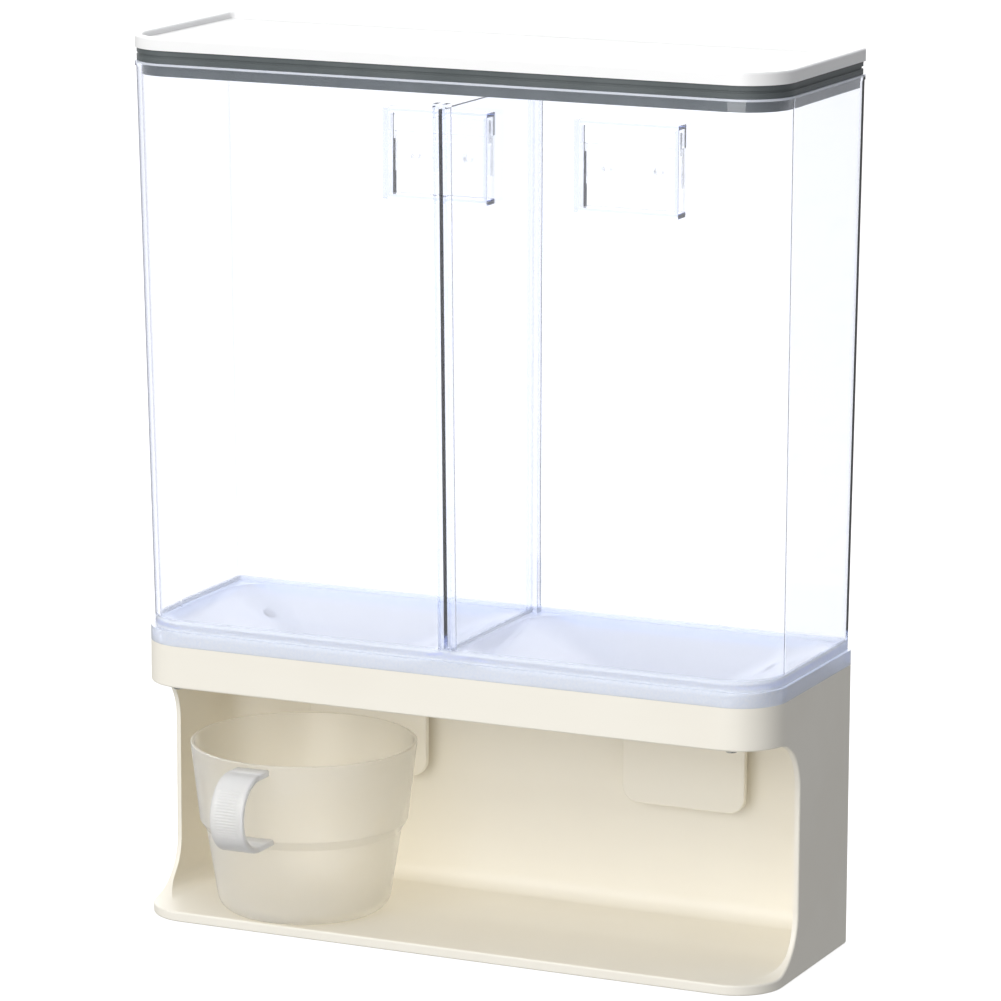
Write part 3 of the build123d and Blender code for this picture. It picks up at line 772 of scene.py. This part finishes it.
@dataclass
class MeasuringCup(SubAssembly):
    """Frosted cup with a ribbed strap handle. Points of the cup's wall are heights and radii."""

    axis_y: float = -0.0165
    foot: Span = (0.0052, 0.0400)
    step_low: Span = (0.0442, 0.0462)
    step_high: Span = (0.0487, 0.0492)
    rim: Span = (0.0862, 0.0535)
    root: float = 0.0003
    strap: float = 0.0030
    strap_round: float = 0.0009
    round_segments: int = 3
    corner_angle: float = 60.0
    corner_gap: float = 1e-6
    rib_margin: float = 0.0032
    rib_end: float = 0.0006
    rib_depth: float = 0.0005
    rib_rise: float = 9.0
    rib_count: int = 16
    steps_per_rib: int = 4
    groove_steps: tuple[int, ...] = (1, 2)
    steps: int = 160
    grid_half: float = 0.5
    grip_finish: Finish = FrostedPlastic(
        "frosted_grip",
        colour=(0.84, 0.842, 0.84, 1.0),
        cloud_colour=(0.88, 0.88, 0.878, 1.0),
        clearness=0.5,
        passing=(0.88, 0.88, 0.875, 1.0),
    )

    def radius(self, z: float) -> float:
        """Outer radius of the cup's wall.

        Args:
            z: The height.

        Returns:
            The radius at that height.
        """
        points = (self.foot, self.step_low, self.step_high, self.rim)
        for (low, r_low), (high, r_high) in zip(points, points[1:]):
            if z <= high:
                return r_low + (r_high - r_low) * (z - low) / (high - low)
        return self.rim[1]

    def handle(self) -> bpy.types.Object:
        """Strap handle spun round its bend, with cross ribs on the outer face.

        Returns:
            The handle, which stands for its CAD node.
        """
        low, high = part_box("cup_handle")
        middle = (low + high) / 2
        half = (high.x - low.x) / 2
        bend = (high.z - low.z) / 2
        centre = Vector((middle.x, low.y + bend, middle.z))
        columns = (-half, -half + self.rib_margin, -half + self.rib_margin + self.rib_end)
        columns += tuple(-x for x in reversed(columns))
        gaps = len(columns) - 1
        shape = bmesh.new()
        section = bmesh.ops.create_grid(shape, x_segments=gaps, y_segments=1, size=self.grid_half)["verts"]
        for vert in section:
            column = round((vert.co.x + self.grid_half) * gaps)
            outward = vert.co.y > 0
            vert.co = centre + Vector((columns[column], 0.0, bend if outward else bend - self.strap))
        first = list(shape.faces)
        spun = bmesh.ops.spin(
            shape,
            geom=first + list(shape.edges) + list(shape.verts),
            cent=centre,
            axis=(1.0, 0.0, 0.0),
            angle=math.pi,
            steps=self.steps,
            use_merge=False,
        )["geom_last"]
        self.cut_ribs(shape, centre, bend, columns)
        last = [item for item in spun if isinstance(item, bmesh.types.BMFace)]
        for cap in (first, last):
            self.root_end(shape, [face for face in cap if face.is_valid], middle.x)
        bmesh.ops.recalc_face_normals(shape, faces=shape.faces)
        bmesh.ops.bevel(
            shape,
            geom=[edge for edge in shape.edges if self.is_long_corner(edge, middle.x, half)],
            offset=self.strap_round,
            offset_type="OFFSET",
            segments=self.round_segments,
            profile=0.5,
            affect="EDGES",
            material=-1,
        )
        for face in shape.faces:
            face.smooth = True
        made = self.piece("grip_strap", shape, Slot.FROSTED, self.grip_finish)
        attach(made, Body.CUP.value)
        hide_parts("cup_handle")
        LOG.info("%s rides on %s", made.name, Body.CUP.value)
        return made

    def cut_ribs(
        self, shape: bmesh.types.BMesh, centre: Vector, bend: float, columns: Sequence[float]
    ) -> None:
        """Press the grooves between the ribs into the strap's outer face.

        Args:
            shape: The strap.
            centre: Middle of its bend.
            bend: Outer radius of its bend.
            columns: Places of its lengthwise lines, across the width.
        """
        inner = columns[len(columns) // 2] + self.rib_end / 2
        step = math.pi / self.steps
        reach = self.rib_count * self.steps_per_rib * step / 2
        for vert in shape.verts:
            spoke = vert.co - centre
            spoke.x = 0.0
            angle = math.atan2(-spoke.y, spoke.z) - math.pi / 2 + math.radians(self.rib_rise)
            on_face = spoke.length > bend - self.strap / 2 and abs(vert.co.x - centre.x) < inner
            phase = round((angle + reach) / step) % self.steps_per_rib
            if on_face and abs(angle) < reach and phase in self.groove_steps:
                vert.co -= spoke.normalized() * self.rib_depth

    def root_end(self, shape: bmesh.types.BMesh, cap: list[bmesh.types.BMFace], axis_x: float) -> None:
        """Run one end of the strap into the cup's wall.

        Args:
            shape: The strap.
            cap: The faces that close this end.
            axis_x: Place of the cup's axis.
        """
        grown = bmesh.ops.extrude_face_region(shape, geom=cap)["geom"]
        for vert in (item for item in grown if isinstance(item, bmesh.types.BMVert)):
            across = vert.co.x - axis_x
            reach = math.sqrt(self.radius(vert.co.z) ** 2 - across**2)
            vert.co.y = self.axis_y - reach + self.root

    def is_long_corner(self, edge: bmesh.types.BMEdge, middle_x: float, half: float) -> bool:
        """Tell the strap's lengthwise corners from its other edges.

        Args:
            edge: An edge of the strap.
            middle_x: Middle of the strap's width.
            half: Half of its width.

        Returns:
            True for an edge that runs along one of the four corners.
        """
        at_side = all(abs(abs(vert.co.x - middle_x) - half) < self.corner_gap for vert in edge.verts)
        if not at_side or len(edge.link_faces) != 2:
            return False
        return edge.calc_face_angle(0.0) > math.radians(self.corner_angle)

    def build(self) -> None:
        """Dress the cup and make its handle."""
        self.dress(Slot.FROSTED, ("measuring_cup",))
        self.handle()


@dataclass
class WallHook(SubAssembly):
    """Hook in one hang pocket, with its adhesive pad."""

    side: Side
    hook_finish: Finish = ClearPlastic("clear_hook", solid=False)

    def build(self) -> None:
        """Dress the hook and its pad."""
        self.dress(Slot.CLEAR, (self.side.node("wall_hook"),), self.hook_finish)
        self.dress(Slot.TAPE, (self.side.node("adhesive_pad"),))


@dataclass(frozen=True)
class Lamp:
    """One soft square lamp: its place, the point it faces, its width and its power in watts."""

    name: str
    place: Triple
    aim: Triple
    size: float
    power: float

    def hang(self) -> None:
        """Add the lamp to the scene."""
        light = bpy.data.lights.new(self.name, "AREA")
        light.shape = "SQUARE"
        light.size = self.size
        light.energy = self.power
        made = bpy.data.objects.new(self.name, light)
        made.location = self.place
        made.rotation_euler = (Vector(self.aim) - Vector(self.place)).to_track_quat("-Z", "Y").to_euler()
        bpy.context.scene.collection.objects.link(made)


@dataclass(frozen=True)
class PaleFloor(Finish):
    """Matt pale floor with a glow of its own."""

    colour: Colour = (0.5, 0.5, 0.5, 1.0)
    fleck_colour: Colour = (0.52, 0.52, 0.52, 1.0)
    fleck: Pattern = Pattern(30.0, 3.0)
    roughness: float = 0.8
    specular: float = 0.1
    glow: float = 0.75

    def draw(self, sheet: ShaderSheet) -> None:
        """Fill the sheet with flecks and an even glow.

        Args:
            sheet: The material's sheet.
        """
        sheet.surface(
            {
                "Base Color": sheet.mix(sheet.noise(self.fleck), self.colour, self.fleck_colour),
                "Roughness": self.roughness,
                "Specular IOR Level": self.specular,
                "Emission Color": WHITE,
                "Emission Strength": self.glow,
            }
        )


@dataclass
class Studio:
    """Pale floor, soft light and the camera."""

    floor_radius: float = 9.0
    floor_segments: int = 96
    floor_finish: Finish = PaleFloor("pale_floor")
    location: Triple = (1.01501, -2.204131, 0.708567)
    forward: Triple = (-0.407977, 0.890175, -0.202838)
    right: Triple = (0.908756, 0.417313, 0.003598)
    lens: float = 192.62
    sensor: float = 36.0
    clip_end: float = 100.0
    dim: Colour = (0.36, 0.37, 0.405, 1.0)
    dim_side: Triple = (0.99, -0.1, 0.0)
    dim_span: Span = (-0.15, 0.55)
    back_side: Triple = (-0.2, 0.98, 0.0)
    back_span: Span = (0.3, 0.8)
    back_lift: float = 4.0
    below: Colour = (0.72, 0.72, 0.72, 1.0)
    horizon: Span = (-0.08, 0.08)
    strength: float = 0.55
    lamps: tuple[Lamp, ...] = (
        Lamp("key", (-0.6, -2.2, 2.1), (0.0, 0.0, 0.1), 1.4, 34.0),
        Lamp("front", (0.25, -3.0, 0.55), (0.0, 0.0, 0.1), 2.0, 46.0),
        Lamp("top", (-0.4, 0.2, 2.4), (0.0, 0.0, 0.3), 1.8, 8.0),
    )
    bounces: int = 24
    soft_bounces: int = 6

    def floor(self) -> None:
        """Round pale floor that neither lights the pieces nor shows in their gloss."""
        shape = bmesh.new()
        bmesh.ops.create_circle(shape, cap_ends=True, segments=self.floor_segments, radius=self.floor_radius)
        mesh = bpy.data.meshes.new("floor")
        shape.to_mesh(mesh)
        shape.free()
        mesh.materials.append(self.floor_finish.make())
        made = bpy.data.objects.new("floor", mesh)
        bpy.context.scene.collection.objects.link(made)
        made.visible_diffuse = False
        made.visible_glossy = False

    def sky(self) -> None:
        """White surround that dims to one side and brightens behind."""
        world = bpy.data.worlds.new("studio")
        world.use_nodes = True
        sheet = ShaderSheet(world.node_tree)
        way = Signal(sheet, sheet.node("ShaderNodeTexCoord").outputs["Generated"])
        towards = {}
        for name, axis in {"dim": self.dim_side, "back": self.back_side, "up": (0.0, 0.0, 1.0)}.items():
            made = sheet.node("ShaderNodeVectorMath", {"operation": "DOT_PRODUCT"}, {0: way, 1: axis})
            towards[name] = Signal(sheet, made.outputs["Value"])
        above = towards["up"].ramp(*self.horizon)
        lift = 1.0 + (self.back_lift - 1.0) * towards["back"].ramp(*self.back_span) * above
        sky = sheet.mix(towards["dim"].ramp(*self.dim_span), WHITE, self.dim)
        back = sheet.first(
            "ShaderNodeBackground",
            {"Color": sheet.mix(above, self.below, sky), "Strength": self.strength * lift},
        )
        sheet.node("ShaderNodeOutputWorld", None, {"Surface": back})
        bpy.context.scene.world = world

    def camera(self) -> None:
        """Camera at the photograph's viewing angle."""
        lens = bpy.data.cameras.new("photo_camera")
        lens.lens = self.lens
        lens.sensor_width = self.sensor
        lens.clip_end = self.clip_end
        made = bpy.data.objects.new("photo_camera", lens)
        ahead = Vector(self.forward).normalized()
        across = Vector(self.right).normalized()
        upward = across.cross(ahead)
        turn = Matrix((across, upward, -ahead)).transposed().to_4x4()
        made.matrix_world = Matrix.Translation(self.location) @ turn
        bpy.context.scene.collection.objects.link(made)
        bpy.context.scene.camera = made

    def light_paths(self) -> None:
        """Let light through all the clear walls, and show its colours as they are."""
        paths = bpy.context.scene.cycles
        paths.max_bounces = self.bounces
        paths.transmission_bounces = self.bounces
        paths.transparent_max_bounces = self.bounces
        paths.diffuse_bounces = self.soft_bounces
        paths.glossy_bounces = self.soft_bounces
        settings = bpy.context.scene.view_settings
        settings.view_transform = "Standard"
        settings.look = "None"

    def build(self) -> None:
        """Set the stage."""
        self.floor()
        self.sky()
        for lamp in self.lamps:
            lamp.hang()
        self.camera()
        self.light_paths()


def main() -> None:
    """Build every group in order."""
    logging.basicConfig(level=logging.INFO, format="%(name)s: %(message)s")
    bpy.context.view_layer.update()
    materials = finishes()
    groups: list[SubAssembly] = [
        Base(materials),
        StorageBin(materials),
        Lid(materials),
        *(Lever(materials, side) for side in Side),
        MeasuringCup(materials),
        *(WallHook(materials, side) for side in Side),
    ]
    for group in groups:
        group.build()
    Studio().build()


if __name__ == "__main__":
    main()
